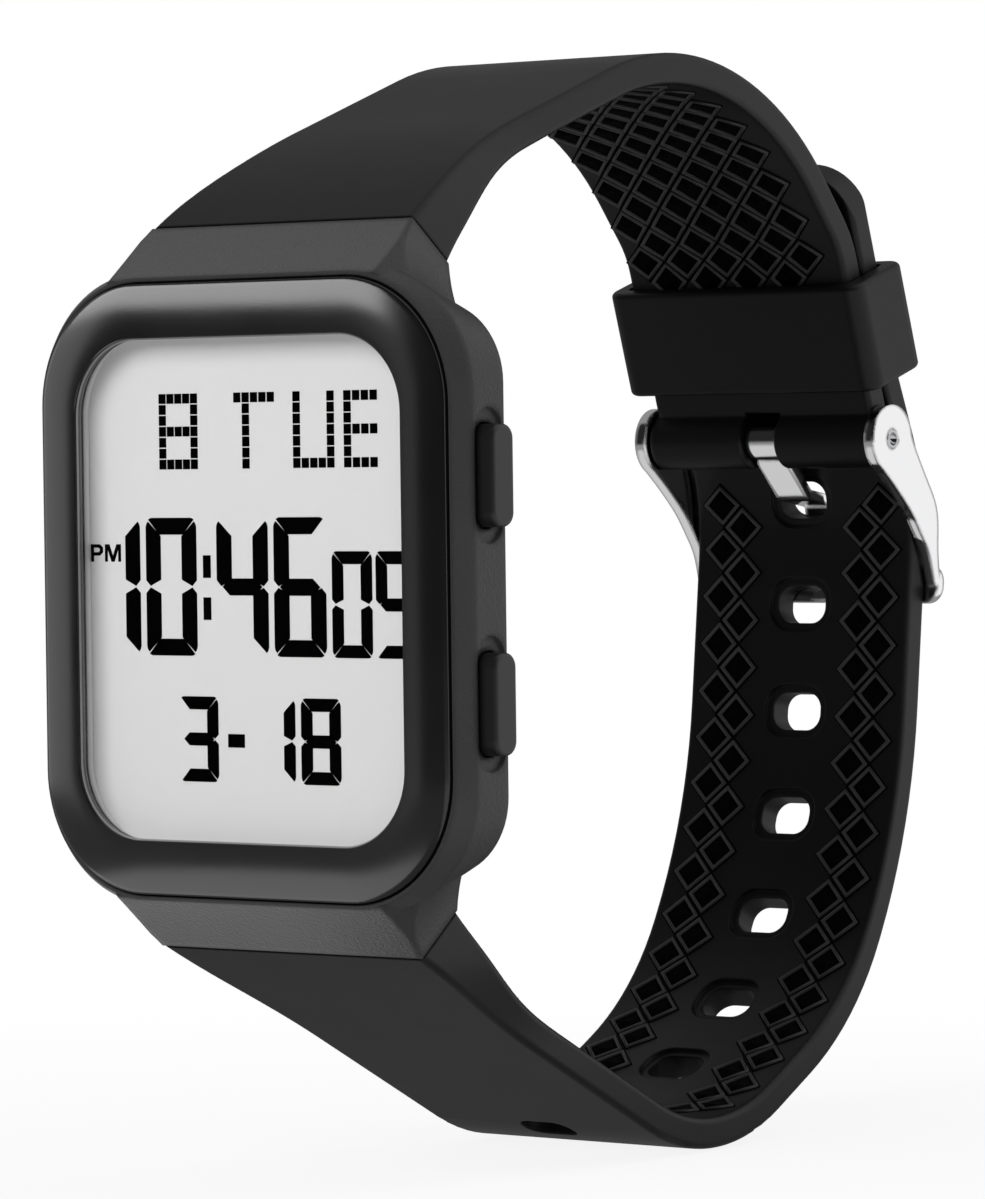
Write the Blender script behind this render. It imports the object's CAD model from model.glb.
# %% [markdown]
# # A digital wristwatch on its fastened strap
# The watch comes in as a finished CAD model: every case, strap, screw and spring is already in
# its place, in metres. What is left for Blender is how it looks. So the model is loaded as a
# fixed frame, and each later cell gives one part of the watch its surface, or adds detail that
# the solids don't have. The watch face looks towards -Y, with twelve o'clock up.

# %% Load the frame
import bisect
import math

import bmesh
import bpy
from mathutils import Matrix, Vector


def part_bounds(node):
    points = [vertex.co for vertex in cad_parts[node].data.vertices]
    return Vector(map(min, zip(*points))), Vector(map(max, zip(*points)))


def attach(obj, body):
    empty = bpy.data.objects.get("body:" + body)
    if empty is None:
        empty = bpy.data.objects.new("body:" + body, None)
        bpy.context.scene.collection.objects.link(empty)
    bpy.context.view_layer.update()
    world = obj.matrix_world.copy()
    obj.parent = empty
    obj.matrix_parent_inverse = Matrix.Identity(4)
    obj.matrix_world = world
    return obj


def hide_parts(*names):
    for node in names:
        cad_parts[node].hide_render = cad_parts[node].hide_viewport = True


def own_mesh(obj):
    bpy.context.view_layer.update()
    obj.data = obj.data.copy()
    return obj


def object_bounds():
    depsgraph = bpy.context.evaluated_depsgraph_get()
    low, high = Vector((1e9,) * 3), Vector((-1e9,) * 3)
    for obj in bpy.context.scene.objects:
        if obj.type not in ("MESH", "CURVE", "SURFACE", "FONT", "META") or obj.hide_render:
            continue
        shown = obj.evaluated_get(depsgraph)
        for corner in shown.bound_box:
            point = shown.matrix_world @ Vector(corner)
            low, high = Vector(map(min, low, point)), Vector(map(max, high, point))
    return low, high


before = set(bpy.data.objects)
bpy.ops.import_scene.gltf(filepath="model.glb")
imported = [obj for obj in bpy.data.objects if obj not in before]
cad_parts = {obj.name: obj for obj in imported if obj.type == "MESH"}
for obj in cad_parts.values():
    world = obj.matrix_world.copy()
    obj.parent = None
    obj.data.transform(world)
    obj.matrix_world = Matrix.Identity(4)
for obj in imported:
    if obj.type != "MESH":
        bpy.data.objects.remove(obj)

cad_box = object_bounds()
bpy.context.scene.view_settings.view_transform = "Standard"

# %% [markdown]
# ## Working sizes
# The watch was drawn in millimetres and Blender works in metres. Points are therefore written
# in millimetres and turned into metres in one place, where a mesh is made.

# %% A mesh from millimetres
MM = 0.001


def make_piece(name, points, faces, finish=None):
    """A new object from points in millimetres, at the origin, with its place in its mesh."""
    mesh = bpy.data.meshes.new(name)
    mesh.from_pydata([Vector(point) * MM for point in points], [], faces)
    mesh.validate()
    if finish is not None:
        mesh.materials.append(finish)
    piece = bpy.data.objects.new(name, mesh)
    bpy.context.scene.collection.objects.link(piece)
    return piece


def part_box(name):
    """The lowest and highest corner of a CAD part, in millimetres."""
    low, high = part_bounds(name)
    return low / MM, high / MM


display_face = part_box("lcd_panel")[0].y
print("The display's face is", round(-display_face, 2), "mm in front of the case back")

# %% [markdown]
# ## The camera
# The camera stands where the photograph is reckoned to have been taken from: a little above the
# middle of the watch and about 37.5 degrees to the right of its face, with a long lens. Its axes
# are worked out from three angles and its place follows from the distance. An empty to aim at
# would also do, but three angles can be changed one at a time while the views are compared.

# %% The camera's axes
VIEW_AZIMUTH = math.radians(37.5)
VIEW_ELEVATION = math.radians(1.399)
VIEW_ROLL = math.radians(-0.746)

towards_camera = Vector((
    math.sin(VIEW_AZIMUTH) * math.cos(VIEW_ELEVATION),
    -math.cos(VIEW_AZIMUTH) * math.cos(VIEW_ELEVATION),
    math.sin(VIEW_ELEVATION),
))
level_right = Vector((math.cos(VIEW_AZIMUTH), math.sin(VIEW_AZIMUTH), 0))
level_up = towards_camera.cross(level_right)
view_right = math.cos(VIEW_ROLL) * level_right + math.sin(VIEW_ROLL) * level_up
view_up = math.cos(VIEW_ROLL) * level_up - math.sin(VIEW_ROLL) * level_right
print("The camera looks from", [round(value, 3) for value in towards_camera])

# %% Place the camera
VIEW_DISTANCE = 414.55
VIEW_ACROSS = 11.167
VIEW_UP = -0.912
VIEW_MIDDLE = Vector((0, 0.5, 0))
SENSOR = 36.0
FOCAL_LENGTH = 178.65
NEAREST_SEEN = 0.01
FARTHEST_SEEN = 20.0

view_place = (
    VIEW_MIDDLE + towards_camera * VIEW_DISTANCE + view_right * VIEW_ACROSS + view_up * VIEW_UP
)
lens = bpy.data.cameras.new("camera")
lens.sensor_fit = "VERTICAL"
lens.sensor_height = SENSOR
lens.lens = FOCAL_LENGTH
lens.clip_start = NEAREST_SEEN
lens.clip_end = FARTHEST_SEEN
camera = bpy.data.objects.new("camera", lens)
turn = Matrix((view_right, view_up, towards_camera)).transposed().to_4x4()
camera.matrix_world = Matrix.Translation(view_place * MM) @ turn
bpy.context.scene.collection.objects.link(camera)
bpy.context.scene.camera = camera
print("Camera at", [round(value, 1) for value in view_place], "mm")

# %% [markdown]
# ## Floor, background and light
# The watch stands on its strap on a white studio floor. A white room could light it as well, but
# then black rubber turns grey. So the room and the far floor show white only to the camera, to
# gloss and through glass, and light the watch softly. Light Path tells those rays apart.

# %% A material's nodes, and which rays see white


def add_node(tree, kind, values=None, sources=None):
    """A new node in a tree, with values for its inputs and sockets that feed them."""
    node = tree.nodes.new(kind)
    for title, value in (values or {}).items():
        node.inputs[title].default_value = value
    for title, source in (sources or {}).items():
        tree.links.new(source, node.inputs[title])
    return node


def new_material(name):
    """A new material and its node tree, still empty."""
    material = bpy.data.materials.new(name)
    material.use_nodes = True
    material.node_tree.nodes.clear()
    return material, material.node_tree


def grey(value):
    """An opaque grey."""
    return (value, value, value, 1)


def seen_by(tree, kinds):
    """A socket that is one for the named kinds of ray and zero for all others."""
    rays = add_node(tree, "ShaderNodeLightPath")
    shown = rays.outputs[kinds[0]]
    for kind in kinds[1:]:
        either = add_node(tree, "ShaderNodeMath", sources={0: shown, 1: rays.outputs[kind]})
        either.operation = "MAXIMUM"
        shown = either.outputs[0]
    return shown


# %% The floor's finish
PAPER_GREY = 0.82
FADE_START = 60
FADE_END = 160
WHITE_UNDER_WATCH = 0.88

floor_finish, tree = new_material("studio_floor")
paper = add_node(tree, "ShaderNodeBsdfDiffuse", {"Color": grey(PAPER_GREY)})
glow = add_node(tree, "ShaderNodeEmission", {"Strength": 1.0})
place = add_node(tree, "ShaderNodeTexCoord")
reach = add_node(tree, "ShaderNodeVectorMath", sources={0: place.outputs["Object"]})
reach.operation = "LENGTH"
fade = add_node(tree, "ShaderNodeMapRange", {
    "From Min": FADE_START * MM, "From Max": FADE_END * MM, "To Min": WHITE_UNDER_WATCH, "To Max": 1.0,
}, {"Value": reach.outputs["Value"]})
fade.interpolation_type = "SMOOTHSTEP"
shown = seen_by(tree, ("Is Camera Ray", "Is Glossy Ray"))
share = add_node(tree, "ShaderNodeMath", sources={0: shown, 1: fade.outputs["Result"]})
share.operation = "MULTIPLY"
blend = add_node(tree, "ShaderNodeMixShader", sources={
    0: share.outputs[0], 1: paper.outputs[0], 2: glow.outputs[0],
})
add_node(tree, "ShaderNodeOutputMaterial", sources={"Surface": blend.outputs[0]})
print("The floor turns fully white", FADE_END, "mm from the watch's middle")

# %% The floor
FLOOR_SIZE = 3.0
FLOOR_GAP = 0.0002

floor_level = (cad_box[0][2] - FLOOR_GAP) / MM
half = FLOOR_SIZE / MM / 2
floor = make_piece(
    "floor",
    [(-half, -half, floor_level), (half, -half, floor_level), (half, half, floor_level),
     (-half, half, floor_level)],
    [(0, 1, 2, 3)], floor_finish,
)
print("The floor is at", round(floor_level, 2), "mm")

# %% The room
ROOM_LIGHT = 0.35
ROOM_SHOWN = 1.0

room = bpy.data.worlds.new("room")
bpy.context.scene.world = room
room.use_nodes = True
tree = room.node_tree
tree.nodes.clear()
soft = add_node(tree, "ShaderNodeBackground", {"Color": grey(1), "Strength": ROOM_LIGHT})
white = add_node(tree, "ShaderNodeBackground", {"Color": grey(1), "Strength": ROOM_SHOWN})
shown = seen_by(tree, ("Is Camera Ray", "Is Glossy Ray", "Is Transmission Ray"))
blend = add_node(tree, "ShaderNodeMixShader", sources={0: shown, 1: soft.outputs[0], 2: white.outputs[0]})
add_node(tree, "ShaderNodeOutputWorld", sources={"Surface": blend.outputs[0]})
print("The room lights the watch at", ROOM_LIGHT)

# %% [markdown]
# ## Lamps
# Two large lamps, one in front and one behind, give the soft light of a product photograph. They
# are kept out of the gloss, where their square shapes would show. Streaks on the gloss come from
# lamps of their own, and Blender can link such a lamp to chosen objects, so that the matt rubber
# behind them doesn't catch it.

# %% A lamp, and lamps for chosen objects


def lamp(name, place, aim, width, height, power, gloss=True, soft=True):
    """A rectangular lamp at a place, turned to face a point, both in millimetres."""
    data = bpy.data.lights.new(name, "AREA")
    data.shape = "RECTANGLE"
    data.size = width * MM
    data.size_y = height * MM
    data.energy = power
    thing = bpy.data.objects.new(name, data)
    facing = (Vector(aim) - Vector(place)).to_track_quat("-Z", "Y")
    thing.matrix_world = Matrix.Translation(Vector(place) * MM) @ facing.to_matrix().to_4x4()
    thing.visible_camera = False
    thing.visible_glossy = gloss
    thing.visible_diffuse = soft
    bpy.context.scene.collection.objects.link(thing)
    return thing


def streak_lamps(name, lit_things, lamps):
    """Lamps that show in the gloss of some objects alone, from rows of a lamp's values."""
    lit = bpy.data.collections.new(name)
    for thing in lit_things:
        lit.objects.link(thing)
    for lamp_name, place, aim, width, height, power in lamps:
        streak = lamp(lamp_name, place, aim, width, height, power, soft=False)
        streak.light_linking.receiver_collection = lit


# %% The two large lamps
WATCH_MIDDLE = (0, 0, 0)
for name, place, width, height, power in (
    ("front_lamp", (-60, -420, 230), 460, 300, 2.15),
    ("back_lamp", (200, 420, 260), 300, 300, 1.2),
):
    lamp(name, place, WATCH_MIDDLE, width, height, power, gloss=False)
    print(name, "is", width, "by", height, "mm and gives", power, "W")

# %% [markdown]
# ## Cards
# A photographer of black things sets cards round them, because gloss shows whatever stands
# there. A dark card in front keeps the middle of the gloss black, and paler ones at the side and
# above brighten its edges. They are parts of a globe round the watch that only reflections see.

# %% A card that only gloss sees
CARD_STEPS = 24


def card(name, points, faces, brightness):
    """A card of even brightness that shows in reflections alone."""
    material, tree = new_material(name)
    sheen = add_node(tree, "ShaderNodeEmission", {"Strength": brightness})
    add_node(tree, "ShaderNodeOutputMaterial", sources={"Surface": sheen.outputs[0]})
    thing = make_piece(name, points, faces, material)
    thing.visible_camera = False
    thing.visible_diffuse = False
    thing.visible_transmission = False
    thing.visible_shadow = False
    return thing


def round_card(name, bearings, elevations, radius, brightness):
    """Part of a globe of cards round the watch, between two bearings and two elevations."""
    points, faces = [], []
    for row in range(CARD_STEPS + 1):
        rise = elevations[0] + (elevations[1] - elevations[0]) * row / CARD_STEPS
        elevation = math.radians(rise)
        flat = radius * math.cos(elevation)
        for column in range(CARD_STEPS + 1):
            sweep = bearings[0] + (bearings[1] - bearings[0]) * column / CARD_STEPS
            bearing = math.radians(sweep)
            points.append((
                flat * math.sin(bearing), -flat * math.cos(bearing), radius * math.sin(elevation)
            ))
    for row in range(CARD_STEPS):
        for column in range(CARD_STEPS):
            first = row * (CARD_STEPS + 1) + column
            faces.append((first, first + 1, first + CARD_STEPS + 2, first + CARD_STEPS + 1))
    return card(name, points, faces, brightness)


# %% Set the cards
CARD_RADIUS = 420
CARD_FOOT = -12
CARD_SHOULDER = 60
OVERHEAD = 90
for name, bearings, elevations, brightness in (
    ("front_card", (-75, 80), (CARD_FOOT, CARD_SHOULDER), 0.02),
    ("side_card", (-190, -75), (CARD_FOOT, CARD_SHOULDER), 0.3),
    ("top_card", (-190, 80), (CARD_SHOULDER, OVERHEAD), 0.45),
):
    round_card(name, bearings, elevations, CARD_RADIUS, brightness)
    print(name, "reflects at", brightness)

# %% The card on the floor
CARD_LEVEL = floor_level + 0.05
LOW_LAMP_LEVEL = floor_level + 0.15
FLOOR_CARD_BRIGHTNESS = 0.3
FLOOR_CARD_FRONT_RIGHT = 60
FLOOR_CARD_BACK_RIGHT = 20
card(
    "floor_card",
    [(-CARD_RADIUS, -CARD_RADIUS, CARD_LEVEL), (FLOOR_CARD_FRONT_RIGHT, -CARD_RADIUS, CARD_LEVEL),
     (FLOOR_CARD_BACK_RIGHT, CARD_RADIUS, CARD_LEVEL), (-CARD_RADIUS, CARD_RADIUS, CARD_LEVEL)],
    [(0, 1, 2, 3)], FLOOR_CARD_BRIGHTNESS,
)
print("The floor card lies at", round(CARD_LEVEL, 2), "mm")

# %% [markdown]
# ## Finishes
# The watch is moulded plastic and rubber, with a steel back and a chromed buckle. An image could
# carry each surface, but noise on Object coordinates needs no file and stays on the part. Each
# finish is one Principled shader whose colour and roughness vary a little.

# %% What every finish shares


def principled(name, values):
    """A new material with one Principled shader, and its node tree and shader."""
    material, tree = new_material(name)
    shader = add_node(tree, "ShaderNodeBsdfPrincipled", values)
    add_node(tree, "ShaderNodeOutputMaterial", sources={"Surface": shader.outputs[0]})
    return material, tree, shader


def noise_on_part(tree, scale, detail=2.0):
    """A noise that keeps its place on the part, with this many waves to the metre."""
    place = add_node(tree, "ShaderNodeTexCoord")
    noise = add_node(
        tree, "ShaderNodeTexNoise", {"Scale": scale, "Detail": detail}, {"Vector": place.outputs["Object"]}
    )
    return noise.outputs["Fac"]


def uneven_roughness(tree, shader, noise, low, high):
    """Lets a noise vary the shader's roughness from low to high."""
    rough = add_node(tree, "ShaderNodeMapRange", {"To Min": low, "To Max": high}, {"Value": noise})
    tree.links.new(rough.outputs["Result"], shader.inputs["Roughness"])

# %% Soft edges
EDGE_SAMPLES = 6


def soft_edges(tree, radius):
    """Rounds the look of sharp edges by a radius in millimetres."""
    rounding = add_node(tree, "ShaderNodeBevel", {"Radius": radius * MM})
    rounding.samples = EDGE_SAMPLES
    return rounding.outputs["Normal"]


# %% [markdown]
# Moulded plastic and rubber take their surface from the mould: a faint cloudiness of colour and a
# fine grain, strongest on the case, which bump gives without any geometry. The Bevel node rounds
# the look of sharp CAD edges, as a mould does, without changing the solid.

# %% One maker for the moulded finishes
CLOUD_SCALE = 120.0
CLOUD_DETAIL = 4.0
ROUGHNESS_SPREAD = 0.04
GRAIN_DETAIL = 3.0
GRAIN_DEPTH = 0.05


def moulded(name, colour, roughness, specular=0.5, grain=0.0, grain_size=0.15, cloud=0.12, edge=0.0):
    """A moulded plastic or rubber: a base colour that varies slightly, and a fine grain."""
    material, tree, shader = principled(name, {"Specular IOR Level": specular})
    clouds = noise_on_part(tree, CLOUD_SCALE, CLOUD_DETAIL)
    tint = tree.nodes.new("ShaderNodeMix")
    tint.data_type = "RGBA"
    for socket, share in (("A", 1 - cloud), ("B", 1 + cloud)):
        tint.inputs[socket].default_value = (*[channel * share for channel in colour], 1)
    tree.links.new(clouds, tint.inputs["Factor"])
    tree.links.new(tint.outputs["Result"], shader.inputs["Base Color"])
    uneven_roughness(tree, shader, clouds, roughness - ROUGHNESS_SPREAD, roughness + ROUGHNESS_SPREAD)
    normal = soft_edges(tree, edge) if edge else None
    if grain:
        speckle = noise_on_part(tree, 1 / (grain_size * MM), GRAIN_DETAIL)
        bump = add_node(
            tree, "ShaderNodeBump", {"Strength": grain, "Distance": GRAIN_DEPTH * MM}, {"Height": speckle}
        )
        if normal:
            tree.links.new(normal, bump.inputs["Normal"])
        normal = bump.outputs["Normal"]
    if normal:
        tree.links.new(normal, shader.inputs["Normal"])
    return material


# %% The watch's outer plastics and rubbers
case_finish = moulded(
    "case_resin", (0.033, 0.033, 0.0335), roughness=0.4, specular=0.3, grain=1.0, grain_size=0.22,
    edge=0.8,
)
bezel_finish = moulded(
    "bezel_resin", (0.005, 0.005, 0.0054), roughness=0.17, specular=0.5, grain=0.08, grain_size=0.12,
)
button_finish = moulded(
    "pusher_resin", (0.008, 0.008, 0.0085), roughness=0.35, specular=0.4, grain=0.1,
    grain_size=0.15, edge=0.25,
)
strap_finish = moulded(
    "strap_rubber", (0.004, 0.004, 0.0042), roughness=0.45, specular=0.28, grain=0.12,
    grain_size=0.2, edge=0.3,
)
print("Outer finishes:", [finish.name for finish in (case_finish, bezel_finish, button_finish, strap_finish)])

# %% The plastics and rubbers inside
seal_finish = moulded("seal_rubber", (0.01, 0.01, 0.01), roughness=0.6, specular=0.3)
module_finish = moulded("module_plastic", (0.5, 0.5, 0.48), roughness=0.5)
board_finish = moulded("board_laminate", (0.02, 0.13, 0.05), roughness=0.4)
reflector_finish = moulded("reflector_film", (0.75, 0.76, 0.74), roughness=0.4)
ink_finish = moulded("display_ink", (0.0005, 0.0005, 0.0005), roughness=0.6, specular=0.02)
display_finish = moulded(
    "display_glass", (0.72, 0.72, 0.72), roughness=0.6, specular=0.1, cloud=0.01,
)
print("Finishes so far:", len(bpy.data.materials))

# %% [markdown]
# The buckle is chromed, the case back is taken to be plain steel and the contacts brass. A metal
# has its colour in the reflection itself, so Metallic is one, and only the roughness wanders, as
# polish does.

# %% Metals
POLISH_SCALE = 900.0
LEAST_ROUGHNESS = 0.02


def metal(name, colour, roughness, wear=0.03, edge=0.0):
    """A metal with fine uneven polish."""
    material, tree, shader = principled(name, {"Metallic": 1.0, "Base Color": (*colour, 1)})
    polish = noise_on_part(tree, POLISH_SCALE)
    uneven_roughness(tree, shader, polish, max(roughness - wear, LEAST_ROUGHNESS), roughness + wear)
    if edge:
        tree.links.new(soft_edges(tree, edge), shader.inputs["Normal"])
    return material


chrome_finish = metal("buckle_chrome", (0.86, 0.86, 0.87), roughness=0.06, edge=0.5)
steel_finish = metal("steel", (0.6, 0.6, 0.61), roughness=0.28, wear=0.025)
brass_finish = metal("contact_brass", (0.72, 0.55, 0.25), roughness=0.3)
print("Metals:", [finish.name for finish in (chrome_finish, steel_finish, brass_finish)])

# %% [markdown]
# The window is clear and flat. Real glass would bend the rays on their way to the display and
# needs many samples, so a nearly transparent gloss does the same job: the display shows through
# it and reflections lie on top.

# %% The window's glass
GLASS_TINT = 0.002
GLASS_ALPHA = 0.06
GLASS_POLISH_SCALE = 60.0
SMOOTHEST_GLASS = 0.01
ROUGHEST_GLASS = 0.03

window_finish, tree, shader = principled(
    "window_glass", {"Base Color": grey(GLASS_TINT), "Alpha": GLASS_ALPHA}
)
polish = noise_on_part(tree, GLASS_POLISH_SCALE)
uneven_roughness(tree, shader, polish, SMOOTHEST_GLASS, ROUGHEST_GLASS)
print("The glass covers", GLASS_ALPHA, "of what lies behind it")

# %% [markdown]
# Each CAD part carries a slot that names its material. Assigning by slot name dresses screws,
# seals and springs together, and a part added later would get its finish too.

# %% Give each CAD part its finish
finish_of_slot = {
    "case_resin": case_finish, "bezel_resin": bezel_finish, "pusher_resin": button_finish,
    "strap_rubber": strap_finish, "seal_rubber": seal_finish, "window_glass": window_finish,
    "display_glass": display_finish, "reflector_film": reflector_finish,
    "module_plastic": module_finish, "board_laminate": board_finish,
    "contact_brass": brass_finish, "steel": steel_finish, "buckle_chrome": chrome_finish,
}
dressed = 0
for name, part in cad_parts.items():
    for slot in part.material_slots:
        slot_name = slot.material.name.split(".")[0]
        if slot_name in finish_of_slot:
            slot.material = finish_of_slot[slot_name]
            dressed += 1
        else:
            print("no finish for", name, slot_name)
print("Slots given a finish:", dressed)

# %% [markdown]
# ## The bezel
# The bezel is one moulding: a flat ring whose top is a shallow dome, steepest at its outer edge
# and level at the window. The CAD ring has two flat bands instead of the dome. A smooth dome is
# what makes light run softly across it, so the ring is built again from closed outlines, each a
# little further in, joined by a skin. A swept curve would pinch at the corners, where the
# outlines have different radii.

# %% Rounded outlines
CORNER_STEPS = 20
SIDE_STEPS = 6


def rounded_outline(half_width, half_height, radius, depth):
    """Points round a rounded rectangle that faces the eye, this far in front of the case back."""
    corners = [(1, 1, 0), (-1, 1, 90), (-1, -1, 180), (1, -1, 270)]
    arcs = []
    for across, up, start in corners:
        centre = (across * (half_width - radius), up * (half_height - radius))
        for step in range(CORNER_STEPS + 1):
            angle = math.radians(start + 90 * step / CORNER_STEPS)
            arcs.append((centre[0] + radius * math.cos(angle), centre[1] + radius * math.sin(angle)))
    points = []
    per_corner = CORNER_STEPS + 1
    for index, (across, up) in enumerate(arcs):
        points.append((across, -depth, up))
        if index % per_corner == CORNER_STEPS:
            following = arcs[(index + 1) % len(arcs)]
            for step in range(1, SIDE_STEPS):
                part = step / SIDE_STEPS
                points.append((
                    across + (following[0] - across) * part, -depth, up + (following[1] - up) * part
                ))
    return points


# %% A skin over outlines


def skin(outlines, closed=True):
    """Points and faces that join each outline to the next, and the last to the first."""
    count = len(outlines[0])
    points = [point for outline in outlines for point in outline]
    faces = []
    rounds = len(outlines) if closed else len(outlines) - 1
    for ring in range(rounds):
        here, there = ring * count, (ring + 1) % len(outlines) * count
        for index in range(count):
            after = (index + 1) % count
            faces.append((here + index, here + after, there + after, there + index))
    return points, faces


def point_outwards(piece):
    """Turns the faces of a closed mesh outwards."""
    work = bmesh.new()
    work.from_mesh(piece.data)
    bmesh.ops.recalc_face_normals(work, faces=work.faces)
    work.to_mesh(piece.data)
    work.free()


def sharpen(piece, degrees):
    """Smooth shading that keeps edges sharper than this angle."""
    piece.data.shade_smooth()
    piece.data.set_sharp_from_angle(angle=math.radians(degrees))


# %% The bezel's sizes
bezel_high = part_box("bezel")[1]
BEZEL_HALF_WIDTH = bezel_high.x
BEZEL_HALF_HEIGHT = bezel_high.z
BEZEL_CORNER = 8.6
BEZEL_SIDE_BAND = 3.4
BEZEL_END_BAND = 3.775
WINDOW_CORNER = 5.4
BEZEL_BOTTOM = 8.6
BEZEL_EDGE = 9.5
BEZEL_TOP = 10.0
AT_EDGE = 0
AT_WINDOW = 1


def bezel_outline(share, depth, extra=0.0):
    """An outline of the ring, at a share of the way from its outer edge to the window."""
    half_width = BEZEL_HALF_WIDTH - share * BEZEL_SIDE_BAND + extra
    half_height = BEZEL_HALF_HEIGHT - share * BEZEL_END_BAND + extra
    corner = BEZEL_CORNER + (WINDOW_CORNER - BEZEL_CORNER) * share + extra
    return rounded_outline(half_width, half_height, corner, depth)


def dome(share):
    """The ring's height at a share of the way in: a parabola that is level at the window."""
    return BEZEL_EDGE + (BEZEL_TOP - BEZEL_EDGE) * (1 - (1 - share) ** 2)


print("The bezel is", round(2 * BEZEL_HALF_WIDTH, 2), "by", round(2 * BEZEL_HALF_HEIGHT, 2), "mm")

# %% The outlines of the ring
EDGE_ROUND = 0.16
EDGE_STEPS = 4
DOME_STEPS = 16
DOME_END = 0.985
LIP_DROP = 0.06
INNER_FOOT = 9.05
FLANGE_OVERLAP = 2.5

rings = [bezel_outline(AT_EDGE, BEZEL_BOTTOM), bezel_outline(AT_EDGE, BEZEL_EDGE - EDGE_ROUND)]
for step in range(1, EDGE_STEPS):
    turn = math.radians(90 * step / EDGE_STEPS)
    inset = EDGE_ROUND * (1 - math.cos(turn))
    rings.append(bezel_outline(AT_EDGE, BEZEL_EDGE - EDGE_ROUND * (1 - math.sin(turn)), -inset))
edge_share = EDGE_ROUND / BEZEL_SIDE_BAND
for step in range(DOME_STEPS + 1):
    share = edge_share + (DOME_END - edge_share) * step / DOME_STEPS
    rings.append(bezel_outline(share, dome(share)))
rings.append(bezel_outline(AT_WINDOW, BEZEL_TOP - LIP_DROP))
rings.append(bezel_outline(AT_WINDOW, INNER_FOOT))
rings.append(bezel_outline(AT_WINDOW, INNER_FOOT, FLANGE_OVERLAP))
rings.append(bezel_outline(AT_WINDOW, BEZEL_BOTTOM, FLANGE_OVERLAP))
print("Outlines of the ring:", len(rings))

# %% The bezel's ring
RING_CREASE = 40
ring_points, ring_faces = skin(rings)
bezel_ring = make_piece("bezel_ring", ring_points, ring_faces, bezel_finish)
point_outwards(bezel_ring)
sharpen(bezel_ring, RING_CREASE)
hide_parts("bezel")
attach(bezel_ring, "watch")
print("Bezel ring:", len(bezel_ring.data.polygons), "faces")

# %% [markdown]
# Where the ring ends at the window, the glass has a narrow polished bevel. It catches light as
# a thin bright line round the display. The ring's own outlines serve again, so it follows the
# window's corners exactly.

# %% The window's bevel
BEVEL_WIDTH = 0.11
BEVEL_FRONT = 9.78
BEVEL_BACK = 9.66
BEVEL_GREY = 0.22

bevel_section = [
    (BEVEL_BACK, 0.0), (BEVEL_FRONT, 0.0), (BEVEL_FRONT, -BEVEL_WIDTH), (BEVEL_BACK, -BEVEL_WIDTH),
]
bevel_points, bevel_faces = skin([bezel_outline(AT_WINDOW, depth, out) for depth, out in bevel_section])
bevel_finish = moulded(
    "window_bevel", (BEVEL_GREY, BEVEL_GREY, BEVEL_GREY), roughness=0.3, specular=0.5
)
window_bevel = make_piece("window_bevel", bevel_points, bevel_faces, bevel_finish)
point_outwards(window_bevel)
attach(window_bevel, "watch")
print("Window bevel:", len(window_bevel.data.polygons), "faces")

# %% [markdown]
# Behind the glass a light surround reaches down to the display. Its colour deepens
# towards the front edge, which reads as the soft shade round the display. The colour depends
# only on how far forward a point lies, so it holds from every side.

# %% The surround's finish
SURROUND_FRONT = 9.62
SURROUND_SPECULAR = 0.1
SURROUND_ROUGHNESS = 0.6
FRONT_GREY = 0.09
MIDDLE_GREY = 0.42
FOOT_GREY = 0.92

surround_finish, tree, shader = principled(
    "display_surround", {"Specular IOR Level": SURROUND_SPECULAR, "Roughness": SURROUND_ROUGHNESS}
)
place = add_node(tree, "ShaderNodeTexCoord")
parts = add_node(tree, "ShaderNodeSeparateXYZ", sources={0: place.outputs["Object"]})
deepen = add_node(tree, "ShaderNodeMapRange", {
    "From Min": -SURROUND_FRONT * MM, "From Max": display_face * MM,
}, {"Value": parts.outputs["Y"]})
shades = add_node(tree, "ShaderNodeValToRGB", sources={"Fac": deepen.outputs["Result"]})
shades.color_ramp.elements[0].color = grey(FRONT_GREY)
shades.color_ramp.elements[1].color = grey(FOOT_GREY)
shades.color_ramp.elements.new(0.5).color = grey(MIDDLE_GREY)
tree.links.new(shades.outputs["Color"], shader.inputs["Base Color"])
print("The surround goes from", FRONT_GREY, "at the glass to", FOOT_GREY, "at the display")

# %% The surround
SURROUND_FOOT = 0.4
SURROUND_THICKNESS = 0.08
SURROUND_UPPER = 9.0
SURROUND_LOWER = 8.4
SURROUND_CREASE = 30
DISPLAY_CLEARANCE = 0.01

foot_depth = -display_face + DISPLAY_CLEARANCE
surround_section = [
    (SURROUND_FRONT, -BEVEL_WIDTH), (SURROUND_UPPER, SURROUND_FOOT / 3 - BEVEL_WIDTH / 2),
    (SURROUND_LOWER, SURROUND_FOOT * 2 / 3), (foot_depth, SURROUND_FOOT),
    (foot_depth, SURROUND_FOOT + SURROUND_THICKNESS), (SURROUND_FRONT, SURROUND_THICKNESS - BEVEL_WIDTH),
]
surround_points, surround_faces = skin([
    bezel_outline(AT_WINDOW, depth, out) for depth, out in surround_section
])
surround = make_piece("display_surround", surround_points, surround_faces, surround_finish)
point_outwards(surround)
sharpen(surround, SURROUND_CREASE)
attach(surround, "watch")
print("Surround:", len(surround.data.polygons), "faces")

# %% [markdown]
# Four long lamps light the ring alone. On the real ring they are the soft streaks along its
# upper, lower and left-hand edges, and a faint one on the right beside the window.

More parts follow.
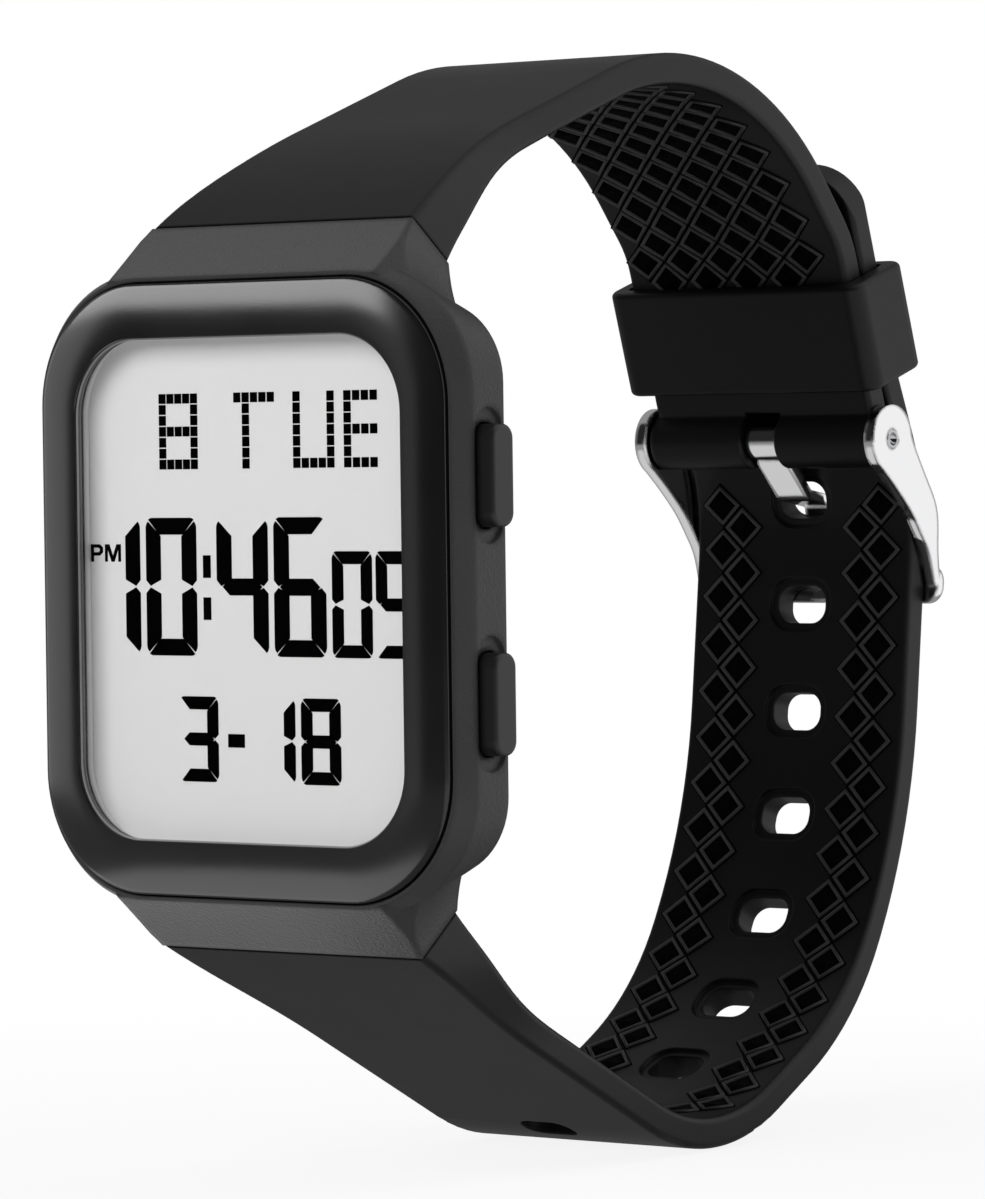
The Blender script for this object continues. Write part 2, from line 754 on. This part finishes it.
# %% Lamps for the ring
streak_lamps("ring_light", [bezel_ring], (
    ("ring_top_lamp", (-204, -197, 160), (0, -10, 20), 216, 142, 0.62),
    ("ring_low_lamp", (-34, -48, LOW_LAMP_LEVEL), (-34, -48, 0), 60, 60, 0.021),
    ("ring_left_lamp", (-256, -100, 0), (-18, -10, 0), 205, 180, 0.149),
    ("ring_right_lamp", (-118, -232, 0), (18, -10, 0), 60, 260, 0.027),
))

# %% [markdown]
# The slanting faces above and below the ring get a lamp each in the same way: one high on the
# left, and one on the floor.

# %% Lamps for the case
streak_lamps("case_light", [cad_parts["case_middle"]], (
    ("case_top_lamp", (-190, 10, 240), (0, -5, 22), 200, 160, 0.07),
    ("case_low_lamp", (-36, -12, LOW_LAMP_LEVEL), (-36, -12, 0), 60, 80, 0.014),
))

# %% [markdown]
# ## The display
# The characters of a liquid crystal display are flat dark shapes under the glass. The time and
# the date use the usual seven strokes, each with mitred ends and a thin gap to its neighbour.
# A font could write them, but its strokes would not have those gaps. So a stroke is drawn as an
# outline in millimetres inside its own character box, and one drawing serves every size.

# %% Seven strokes in a character box
STROKE_GAP = 0.1
strokes_of = {
    "0": "ABCDEF", "1": "BC", "3": "ABCDG", "4": "BCFG", "6": "ACDEFG", "8": "ABCDEFG", "9": "ABCDFG",
}


def stroke_outline(stroke, width, height, post, beam):
    """One stroke: posts stand upright and beams lie across, with mitres as shares of their widths."""
    middle = height / 2
    lip = 0.1 * post
    top_beam = [
        (0.36 * post, height), (width - 0.36 * post, height), (width - 0.16 * post, height - 0.1 * beam),
        (width - post + lip, height - beam), (post - lip, height - beam), (0.16 * post, height - 0.1 * beam),
    ]
    upper_post = [
        (0.06 * post, height - 0.34 * beam), (0.16 * post, height - 0.22 * beam),
        (post, height - beam - STROKE_GAP), (post, middle + 0.5 * beam - STROKE_GAP),
        (0.3 * post, middle + 0.05), (0, middle + 0.38 * beam), (0, height - 0.55 * beam),
    ]
    middle_beam = [
        (0.38 * post, middle), (0.86 * post, middle + beam / 2), (width - 0.86 * post, middle + beam / 2),
        (width - 0.38 * post, middle), (width - 0.86 * post, middle - beam / 2),
        (0.86 * post, middle - beam / 2),
    ]
    mirrored = {
        "A": (top_beam, 1, 1), "D": (top_beam, 1, -1), "F": (upper_post, 1, 1),
        "E": (upper_post, 1, -1), "B": (upper_post, -1, 1), "C": (upper_post, -1, -1),
        "G": (middle_beam, 1, 1),
    }
    outline, across, up = mirrored[stroke]
    return [
        (x if across > 0 else width - x, z if up > 0 else height - z) for x, z in outline
    ]


# %% Figures and dots


def figure_outlines(figures, bottom, width, height, post, beam):
    """All stroke outlines of a row of (figure, left edge) pairs."""
    placed = []
    for figure, left in figures:
        for stroke in strokes_of[figure]:
            outline = stroke_outline(stroke, width, height, post, beam)
            placed.append([(left + x, bottom + z) for x, z in outline])
    return placed


def dot_outline(left, right, low, high):
    """A plain rectangle, as the colon's dots and the dash are."""
    return [(left, low), (right, low), (right, high), (left, high)]


# %% [markdown]
# Ink is a closed plate 0.02 mm thick that stands on the display's face. A flat face without
# thickness would lie in the glass's own surface, and the two would flicker through each other.

# %% Ink from outlines
INK_THICKNESS = 0.02


def ink(name, outlines):
    """Flat dark shapes on the display's face, from outlines in millimetres."""
    points, faces = [], []
    front = display_face - INK_THICKNESS
    for outline in outlines:
        first, count = len(points), len(outline)
        points += [(x, front, z) for x, z in outline]
        points += [(x, display_face, z) for x, z in outline]
        faces.append(tuple(range(first, first + count)))
        faces.append(tuple(range(first + 2 * count - 1, first + count - 1, -1)))
        for index in range(count):
            after = (index + 1) % count
            faces.append((first + index, first + count + index, first + count + after, first + after))
    shape = make_piece(name, points, faces, ink_finish)
    point_outwards(shape)
    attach(shape, "watch")
    print(name + ":", len(outlines), "strokes")
    return shape


# %% The time
BIG_HEIGHT, BIG_WIDTH, BIG_BOTTOM = 9.55, 4.6, -4.6
BIG_POST, BIG_BEAM = 1.36, 1.17
SMALL_HEIGHT, SMALL_WIDTH, SMALL_BOTTOM = 7.25, 3.5, -4.62
SMALL_POST, SMALL_BEAM = 1.0, 0.88
COLON_LEFT, COLON_RIGHT = -4.55, -3.85
big_figures = (("1", -14.85), ("0", -9.72), ("4", -3.32), ("6", 1.78))
small_figures = (("0", 6.88), ("9", 10.68))
colon_dots = ((0.79, 2.35), (-2.11, -0.55))

time_shapes = figure_outlines(big_figures, BIG_BOTTOM, BIG_WIDTH, BIG_HEIGHT, BIG_POST, BIG_BEAM)
time_shapes += figure_outlines(
    small_figures, SMALL_BOTTOM, SMALL_WIDTH, SMALL_HEIGHT, SMALL_POST, SMALL_BEAM
)
time_shapes += [dot_outline(COLON_LEFT, COLON_RIGHT, low, high) for low, high in colon_dots]
ink("display_time", time_shapes)

# %% The date
DATE_HEIGHT, DATE_WIDTH, DATE_BOTTOM = 5.9, 3.5, -13.3
DATE_POST, DATE_BEAM = 1.02, 0.9
DASH_LEFT, DASH_RIGHT = -2.5, -1.0
DASH_LOW, DASH_HIGH = -10.88, -9.95
date_figures = (("3", -6.85), ("1", 0.0), ("8", 4.0))

date_shapes = figure_outlines(date_figures, DATE_BOTTOM, DATE_WIDTH, DATE_HEIGHT, DATE_POST, DATE_BEAM)
date_shapes.append(dot_outline(DASH_LEFT, DASH_RIGHT, DASH_LOW, DASH_HIGH))
ink("display_date", date_shapes)

# %% [markdown]
# The day of the week is a grid of cells, so Geometry Nodes place one small cell on each point
# of a pattern. The frames on the strap and the buttons' springs repeat in the same way later.
# All three trees therefore begin and end alike: named inputs first, and at the end the shape on
# every point, made real and given its finish.

# %% How a tree begins and ends


def group_input(tree, name, kind, value=None):
    """Adds an input to a geometry tree and returns its identifier."""
    socket = tree.interface.new_socket(name, in_out="INPUT", socket_type=kind)
    if value is not None:
        socket.default_value = value
    return socket.identifier


def begin_tree(name, result_name, sizes):
    """A tree with inputs for its points, its sizes and its finish, and their identifiers."""
    tree = bpy.data.node_groups.new(name, "GeometryNodeTree")
    names = {"Points": group_input(tree, "Points", "NodeSocketGeometry")}
    for title, value in sizes:
        names[title] = group_input(tree, title, "NodeSocketFloat", value)
    names["Finish"] = group_input(tree, "Finish", "NodeSocketMaterial")
    tree.interface.new_socket(result_name, in_out="OUTPUT", socket_type="NodeSocketGeometry")
    return tree, names, tree.nodes.new("NodeGroupInput").outputs


def end_tree(tree, given, shape):
    """Puts the shape on every point, makes the copies real and gives them their finish."""
    scatter = add_node(
        tree, "GeometryNodeInstanceOnPoints", sources={"Points": given["Points"], "Instance": shape}
    )
    real = add_node(tree, "GeometryNodeRealizeInstances", sources={0: scatter.outputs[0]})
    coat = add_node(
        tree, "GeometryNodeSetMaterial", sources={"Geometry": real.outputs[0], "Material": given["Finish"]}
    )
    add_node(tree, "NodeGroupOutput", sources={0: coat.outputs[0]})

# %% Run a tree


def grown(name, seed_points, tree, names, values):
    """Runs a tree on points in millimetres and keeps its result as a plain mesh."""
    seed = make_piece(name + "_seed", seed_points, [])
    modifier = seed.modifiers.new("grow", "NODES")
    modifier.node_group = tree
    for title, value in values.items():
        modifier[names[title]] = value
    bpy.context.view_layer.update()
    mesh = bpy.data.meshes.new_from_object(seed.evaluated_get(bpy.context.evaluated_depsgraph_get()))
    seed.modifiers.remove(modifier)
    bpy.data.objects.remove(seed)
    mesh.name = name
    piece = bpy.data.objects.new(name, mesh)
    bpy.context.scene.collection.objects.link(piece)
    print(name + ":", len(mesh.polygons), "faces")
    return piece


# %% A tree of flat cells


def cell_tree():
    """Geometry Nodes that put a flat cell of a given size on every point."""
    tree, names, given = begin_tree(
        "display_cells", "Cells", (("Width", 0.001), ("Height", 0.001), ("Thickness", 0.0001))
    )
    size = add_node(tree, "ShaderNodeCombineXYZ", sources={
        "X": given["Width"], "Y": given["Thickness"], "Z": given["Height"],
    })
    cell = add_node(tree, "GeometryNodeMeshCube", sources={"Size": size.outputs[0]})
    end_tree(tree, given, cell.outputs["Mesh"])
    return tree, names


# %% The day line's pattern
CELL_TOP = 13.18
CELL_RISE = 0.757
letters = {
    "8": ["11111", "1...1", "1...1", "11111", "1...1", "1...1", "11111"],
    "T": ["11111", ".1...", ".1...", ".1...", ".1...", ".1...", ".1..."],
    "U": ["1...1", "1...1", "1...1", "1...1", "1...1", "1...1", "11111"],
    "E": ["1111", "1...", "1...", "1111", "1...", "1...", "1111"],
}
day_letters = (("8", -8.05, 0.713), ("T", -1.3, 0.745), ("U", 3.95, 0.745), ("E", 8.4, 0.76))
cell_points = []
for letter, left, step in day_letters:
    for row, line in enumerate(letters[letter]):
        for column, mark in enumerate(line):
            if mark == "1":
                cell_points.append((
                    left + column * step, display_face - INK_THICKNESS / 2, CELL_TOP - row * CELL_RISE
                ))
print("Dark cells in the day line:", len(cell_points))

# %% The day line
CELL_WIDTH = 0.64
CELL_HEIGHT = 0.685
tree, names = cell_tree()
day_line = grown("display_day", cell_points, tree, names, {
    "Width": CELL_WIDTH * MM, "Height": CELL_HEIGHT * MM, "Thickness": INK_THICKNESS * MM,
    "Finish": ink_finish,
})
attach(day_line, "watch")

# %% [markdown]
# The small mark beside the time is the only lettering that isn't made of strokes or cells. Its
# two letters are drawn from plain pieces with four to six corners, which stay closed and flat.

# %% The small PM mark
MARK_BOTTOM = 1.9
P_LEFT, M_LEFT = -14.8, -13.5
M_WIDTH = 1.48
half_m = [(0.26, 1.22), (0.42, 1.22), (0.74, 0.42), (0.74, 0.0), (0.6, 0.0), (0.26, 0.84)]
letter_p = [
    dot_outline(0, 0.28, 0, 1.22),
    [(0.28, 0.98), (0.7, 0.98), (0.84, 1.22), (0.28, 1.22)],
    [(0.7, 0.98), (0.82, 0.9), (1.12, 1.0), (0.84, 1.22)],
    [(0.82, 0.76), (1.12, 0.66), (1.12, 1.0), (0.82, 0.9)],
    [(0.7, 0.67), (0.84, 0.43), (1.12, 0.66), (0.82, 0.76)],
    [(0.28, 0.43), (0.84, 0.43), (0.7, 0.67), (0.28, 0.67)],
]
letter_m = [
    dot_outline(0, 0.26, 0, 1.22), half_m, [(M_WIDTH - x, z) for x, z in half_m],
    dot_outline(1.22, M_WIDTH, 0, 1.22),
]
mark_shapes = []
for letter, left in ((letter_p, P_LEFT), (letter_m, M_LEFT)):
    mark_shapes += [[(left + x, MARK_BOTTOM + z) for x, z in outline] for outline in letter]
ink("display_mark", mark_shapes)

# %% [markdown]
# ## The strap's inside
# The inner faces of both strap halves carry a moulded relief of small diamonds: a full field on
# the buckle half, and two columns down each side of the holes on the other. Each diamond is a
# raised frame round a dull pocket. Bump could only hint at them, so the frames are real. They
# follow the strap's curve, so their places are measured along its middle line, which is the same
# rounded line that the solid was swept along.

# %% The corners of the strap's middle lines
LOOP_DEPTH, LOOP_HEIGHT = 60.0, 79.6
STRAP_THICKNESS = 2.3
KEEPER_HEADING = 108.0
KEEPER_FOOT_HEADING = 113.5


def toward(start, heading, distance):
    """The side view point (y, z) at a heading, in degrees from +Y to +Z, and a distance."""
    angle = math.radians(heading)
    return (start[0] + distance * math.cos(angle), start[1] + distance * math.sin(angle))


def in_loop(depth_share, height_share):
    """A side view point given as shares of the loop."""
    return (depth_share * LOOP_DEPTH, height_share * LOOP_HEIGHT)


bar_place = in_loop(0.9058, 0.1234)
strap_end = toward(bar_place, KEEPER_HEADING - 90, 0.57)
keeper_foot = toward(toward(strap_end, KEEPER_HEADING - 90, STRAP_THICKNESS + 0.1), KEEPER_HEADING, 4.25)
upper_corners = [
    in_loop(0.165, 0.3945), in_loop(0.603, 0.5113),
    toward(strap_end, KEEPER_HEADING, 0.1935 * LOOP_HEIGHT), strap_end,
]
lower_corners = [
    in_loop(0.1833, -0.4016), in_loop(0.5347, -0.5366), in_loop(0.8257, -0.42),
    in_loop(0.9542, -0.245), toward(keeper_foot, KEEPER_FOOT_HEADING, -10.1), keeper_foot,
    toward(keeper_foot, KEEPER_HEADING, 16.8),
]
upper_bends = (0.743, 0.106)
lower_bends = (0.426, 0.41, 0.561, 0.495, 0.095)
print("Corners:", len(upper_corners), "on the buckle half and", len(lower_corners), "on the other")

# %% [markdown]
# A line with rounded corners is straight runs joined by arcs that touch both. A Bezier curve
# would only come close to them, so the arcs are worked out: each starts a share of its shorter
# run before the corner.

# %% A line with rounded corners
LINE_STEP = 0.1


def rounded_line(corners, bends):
    """Closely spaced (distance, point, heading) along a line whose corners are rounded."""
    places, travelled = [], 0.0
    here = Vector(corners[0])
    for before, corner, after, bend in zip(corners, corners[1:], corners[2:], bends):
        before, corner, after = Vector(before), Vector(corner), Vector(after)
        arriving, leaving = (corner - before), (after - corner)
        tangent = bend * min(arriving.length, leaving.length)
        arriving.normalize()
        leaving.normalize()
        bend_angle = math.atan2(arriving.cross(leaving), arriving.dot(leaving))
        radius = tangent / math.tan(abs(bend_angle) / 2)
        start = corner - arriving * tangent
        heading = math.atan2(arriving.y, arriving.x)
        run = (start - here).length
        for index in range(max(1, int(run / LINE_STEP))):
            share = index / max(1, int(run / LINE_STEP))
            places.append((travelled + run * share, here + (start - here) * share, heading))
        travelled += run
        side = 1 if bend_angle > 0 else -1
        centre = start + Vector((-arriving.y, arriving.x)) * side * radius
        arc = abs(bend_angle) * radius
        for index in range(max(1, int(arc / LINE_STEP))):
            share = index / max(1, int(arc / LINE_STEP))
            swung = Matrix.Rotation(bend_angle * share, 2) @ (start - centre)
            places.append((travelled + arc * share, centre + swung, heading + bend_angle * share))
        travelled += arc
        here = corner + leaving * tangent
    last = Vector(corners[-1])
    heading = math.atan2((last - here).y, (last - here).x)
    run = (last - here).length
    count = max(1, int(run / LINE_STEP))
    for index in range(count + 1):
        places.append((travelled + run * index / count, here + (last - here) * index / count, heading))
    return places


upper_line = rounded_line(upper_corners, upper_bends)
lower_line = rounded_line(lower_corners, lower_bends)
print("Strap halves:", round(upper_line[-1][0], 1), "and", round(lower_line[-1][0], 1), "mm long")

# %% [markdown]
# Neighbouring columns are shifted by half a step, so the diamonds interlock as on the real
# strap. A field is then only a list of columns, and both halves use the same function.

# %% Where the diamonds go
COLUMN_STEP = 1.85
FULL_FIELD_RIGHT = 6.8
FULL_FIELD_COLUMNS = 9
FULL_FIELD_ENDS = (45.7, 14.0)
ROW_STEP = 3.62
EDGE_ROW_STEP = 3.7
EDGE_ENDS = (80.2, 24.0)
EDGE_COLUMNS = ((5.5, 0.0), (7.42, 0.5), (-5.5, 0.0), (-7.42, 0.5))


def diamond_field(columns, step, ends):
    """(across, distance) of the diamonds in (across, row offset) columns, from the first end down."""
    first, last = ends
    spots = []
    for across, offset in columns:
        distance = first + offset * step
        while distance > last:
            spots.append((across, distance))
            distance -= step
    return spots


full_columns = [
    (FULL_FIELD_RIGHT - column * COLUMN_STEP, 0.5 * (column % 2)) for column in range(FULL_FIELD_COLUMNS)
]
upper_spots = diamond_field(full_columns, ROW_STEP, FULL_FIELD_ENDS)
lower_spots = diamond_field(EDGE_COLUMNS, EDGE_ROW_STEP, EDGE_ENDS)
print("Diamonds:", len(upper_spots), "on the buckle half,", len(lower_spots), "beside the holes")

# %% [markdown]
# A frame is a square curve with a rectangular section swept along it, turned by 45 degrees. On
# the real strap a groove and a pocket are sunk. The CAD strap can't be cut here, so each is a
# dull dark plate, lower than the raised rim, and only reads as a hollow. The same tree makes all
# three: a groove is a wider frame, and a pocket is a frame so broad that its hole closes.

# %% A tree that lays a flat diamond frame on each point


def diamond_tree():
    """Geometry Nodes that lay a square frame, turned by 45 degrees, on every point."""
    tree, names, given = begin_tree(
        "diamond_frames", "Diamonds", (("Side", 0.002), ("Rim", 0.0002), ("Height", 0.0002))
    )
    rectangle = "GeometryNodeCurvePrimitiveQuadrilateral"
    square = add_node(tree, rectangle, sources={"Width": given["Side"], "Height": given["Side"]})
    section = add_node(tree, rectangle, sources={"Width": given["Rim"], "Height": given["Height"]})
    sweep = add_node(tree, "GeometryNodeCurveToMesh", sources={
        "Curve": square.outputs[0], "Profile Curve": section.outputs[0],
    })
    quarter = add_node(
        tree, "GeometryNodeTransform", {"Rotation": (0, 0, math.radians(45))}, {"Geometry": sweep.outputs[0]}
    )
    end_tree(tree, given, quarter.outputs[0])
    return tree, names


# %% [markdown]
# The tree lays the frames out flat, as on an unrolled strap: across is X, the distance along the
# strap is Y and the height is Z. Each vertex is then carried to the strap's inner face, so the
# frames bend with it.

# %% Lay a flat pattern on the strap


def lay_on_strap(piece, line, inward):
    """Moves a flat pattern's vertices from (across, distance, height) to the strap's inner face."""
    distances = [place[0] for place in line]
    for vertex in piece.data.vertices:
        across, distance, height = vertex.co / MM
        found = min(bisect.bisect_left(distances, distance), len(line) - 1)
        travelled, middle, heading = line[found]
        along = Vector((math.cos(heading), math.sin(heading)))
        normal = Vector((-along.y, along.x)) * inward
        spot = middle + along * (distance - travelled) + normal * (STRAP_THICKNESS / 2 + height)
        vertex.co = Vector((across, spot.x, spot.y)) * MM
    point_outwards(piece)


# %% The relief's sizes and finishes
DIAMOND_DIAGONAL = 3.5
RIM_WIDTH, RIM_HEIGHT, RIM_STAND = 0.36, 0.3, 0.16
GROOVE_WIDTH, GROOVE_HEIGHT, GROOVE_STAND = 0.74, 0.12, 0.03
POCKET_HALF, POCKET_HEIGHT, POCKET_STAND = 0.87, 0.16, 0.07
CLOSING_RIM = 1.42
rim_finish = moulded(
    "strap_rims", (0.024, 0.024, 0.0245), roughness=0.5, specular=0.4, grain=0.2, grain_size=0.2
)
groove_finish = moulded("strap_grooves", (0.0012, 0.0012, 0.0012), roughness=0.8, specular=0.05)
side = DIAMOND_DIAGONAL / math.sqrt(2) - RIM_WIDTH
print("A frame's side is", round(side, 2), "mm and it stands", RIM_STAND, "mm proud")

# %% The relief of both halves
frames, frame_names = diamond_tree()
for half_name, line, inward, spots in (
    ("strap_upper", upper_line, -1, upper_spots), ("strap_lower", lower_line, 1, lower_spots),
):
    for kind, square, width, height, stand, finish in (
        ("relief", side, RIM_WIDTH, RIM_HEIGHT, RIM_STAND, rim_finish),
        ("grooves", side, GROOVE_WIDTH, GROOVE_HEIGHT, GROOVE_STAND, groove_finish),
        ("pockets", POCKET_HALF, CLOSING_RIM * POCKET_HALF, POCKET_HEIGHT, POCKET_STAND, groove_finish),
    ):
        seeds = [(across, distance, stand - height / 2) for across, distance in spots]
        piece = grown(half_name + "_" + kind, seeds, frames, frame_names, {
            "Side": square * MM, "Rim": width * MM, "Height": height * MM, "Finish": finish,
        })
        lay_on_strap(piece, line, inward)
        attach(piece, "watch")

# %% [markdown]
# ## The buttons' springs
# Under each button's cap a small coil of wire pushes it back out. When the button is pressed the
# coil shortens towards its inner end, so each one is drawn again here and flattened along with
# the button's joint. A spiral curve with a round section follows the coil's rule exactly.

# %% A tree that winds a coil
STEPS_PER_TURN = 24
WIRE_SIDES = 10


def coil_tree():
    """Geometry Nodes that stand a coil, with its axis along X, on every point."""
    tree, names, given = begin_tree(
        "wire_coil", "Coil", (("Turns", 3.0), ("Radius", 0.001), ("Length", 0.001), ("Wire Radius", 0.0001))
    )
    spiral = add_node(tree, "GeometryNodeCurveSpiral", {"Resolution": STEPS_PER_TURN}, {
        "Rotations": given["Turns"], "Start Radius": given["Radius"], "End Radius": given["Radius"],
        "Height": given["Length"],
    })
    section = add_node(
        tree, "GeometryNodeCurvePrimitiveCircle", {"Resolution": WIRE_SIDES}, {"Radius": given["Wire Radius"]}
    )
    sweep = add_node(tree, "GeometryNodeCurveToMesh", {"Fill Caps": True}, {
        "Curve": spiral.outputs[0], "Profile Curve": section.outputs[0],
    })
    lying = add_node(
        tree, "GeometryNodeTransform", {"Rotation": (0, math.radians(90), 0)}, {"Geometry": sweep.outputs[0]}
    )
    end_tree(tree, given, lying.outputs[0])
    return tree, names


# %% The return springs
SPRING_RADIUS = 0.8
SPRING_WIRE = 0.2
SPRING_TURNS = 3
SPRING_CREASE = 60

coils, coil_names = coil_tree()
for where in ("upper", "lower"):
    spring_low, spring_high = part_box(f"pusher_spring_{where}_right")
    length = spring_high.x - spring_low.x
    middle = (spring_low + spring_high) / 2
    inner_end = (spring_low.x + SPRING_WIRE / 2, middle.y, middle.z)
    coil = grown(f"button_spring_{where}", [inner_end], coils, coil_names, {
        "Turns": float(SPRING_TURNS), "Radius": SPRING_RADIUS * MM, "Length": (length - SPRING_WIRE) * MM,
        "Wire Radius": SPRING_WIRE / 2 * MM, "Finish": steel_finish,
    })
    point_outwards(coil)
    sharpen(coil, SPRING_CREASE)
    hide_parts(f"pusher_spring_{where}_right")
    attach(coil, "watch")
    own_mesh(coil)
    print("Spring", where, "is", round(length, 2), "mm long at rest")

# %% [markdown]
# ## The buckle
# The bar that the buckle turns on ends flush with its arms, and each end has a small round
# dimple from the tool that spread it. A turned shape is the easiest way to make it: a row of
# circles along the bar's axis, joined by a skin.

# %% A turned shape
BAR_SIDES = 48


def turned(profile, centre):
    """Points and faces of a shape turned about a line along X, from (place on X, radius) pairs."""
    outlines = []
    for along, radius in profile:
        outline = []
        for step in range(BAR_SIDES):
            angle = 2 * math.pi * step / BAR_SIDES
            outline.append((
                along, centre[0] + radius * math.cos(angle), centre[1] + radius * math.sin(angle)
            ))
        outlines.append(outline)
    points, faces = skin(outlines, closed=False)
    faces.append(tuple(range(BAR_SIDES)))
    faces.append(tuple(range(len(points) - BAR_SIDES, len(points))))
    return points, faces


# %% The buckle's bar
bar_low, bar_high = part_box("buckle_bar")
BAR_AXIS = ((bar_low.y + bar_high.y) / 2, (bar_low.z + bar_high.z) / 2)
BAR_RADIUS = (bar_high.z - bar_low.z) / 2
BAR_CREASE = 35
DIMPLE_DEPTH = 0.4
dimple_profile = ((1.0, 0.2), (0.6, 0.4), (0.0, 0.5))
end_round = ((0.0, 0.08), (0.05, 0.02), (0.1, 0.0))

half_bar = [(bar_high.x - share * DIMPLE_DEPTH, radius) for share, radius in dimple_profile]
half_bar += [(bar_high.x - setback, BAR_RADIUS - drop) for setback, drop in end_round]
profile = half_bar + [(-along, radius) for along, radius in reversed(half_bar)]
bar_points, bar_faces = turned(profile, BAR_AXIS)
pin_finish = metal("pin_steel", (0.5, 0.5, 0.51), roughness=0.16, wear=0.05)
buckle_pin = make_piece("buckle_pin", bar_points, bar_faces, pin_finish)
point_outwards(buckle_pin)
sharpen(buckle_pin, BAR_CREASE)
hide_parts("buckle_bar")
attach(buckle_pin, "buckle")
print("The bar is", round(2 * bar_high.x, 2), "mm long and", round(2 * BAR_RADIUS, 2), "mm thick")

# %% [markdown]
# Chrome shows only what stands round it. A lamp on the floor to its left, linked to the chrome
# alone, is what its front edges and the tongue reflect.

# %% A lamp for the chrome
chrome_things = [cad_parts["buckle_frame"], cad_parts["buckle_tongue"], buckle_pin]
streak_lamps("chrome_light", chrome_things, (
    ("chrome_lamp", (-55, 30, LOW_LAMP_LEVEL), (-55, 30, 0), 80, 160, 0.014),
))
